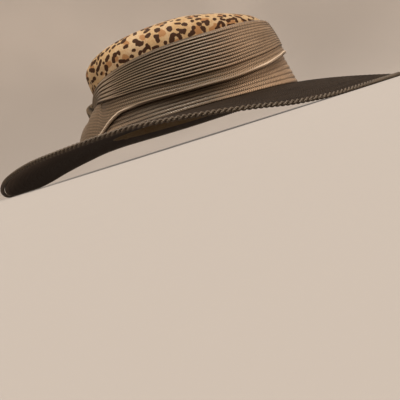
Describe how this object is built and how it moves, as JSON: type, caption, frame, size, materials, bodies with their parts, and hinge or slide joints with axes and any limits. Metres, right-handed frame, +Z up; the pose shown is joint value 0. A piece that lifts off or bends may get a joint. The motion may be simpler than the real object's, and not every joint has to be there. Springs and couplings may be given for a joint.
{
  "type": "wide-brimmed dress hat",
  "caption": "Wide-brimmed dress hat with a domed spotted cloth crown, a draped band of sewn braid gathered at the back, and a braided brim.",
  "frame": {"origin": "middle of the brim's outline, on the surface that the hat rests on", "axes": "+X towards the front of the hat, +Y towards the wearer's left, +Z up"},
  "size_m": [0.42, 0.392, 0.1176],
  "materials": {
    "crown_cloth": "printed cloth with dark rosettes on a tan ground",
    "brim_braid": "very dark brown sewn braid with a low sheen",
    "edge_braid": "twisted dark brown cord",
    "tier_braid": "bronze taupe braid with a satin sheen",
    "drape_braid": "taupe braid with a satin sheen",
    "wrap_braid": "dark taupe ribbed braid"
  },
  "bodies": {
    "root": {"crown": "crown_cloth", "brim": "brim_braid", "brim_edge": "edge_braid", "lower_band": "tier_braid", "upper_band": "drape_braid", "band_knot": "wrap_braid"}
  },
  "joints": []
}
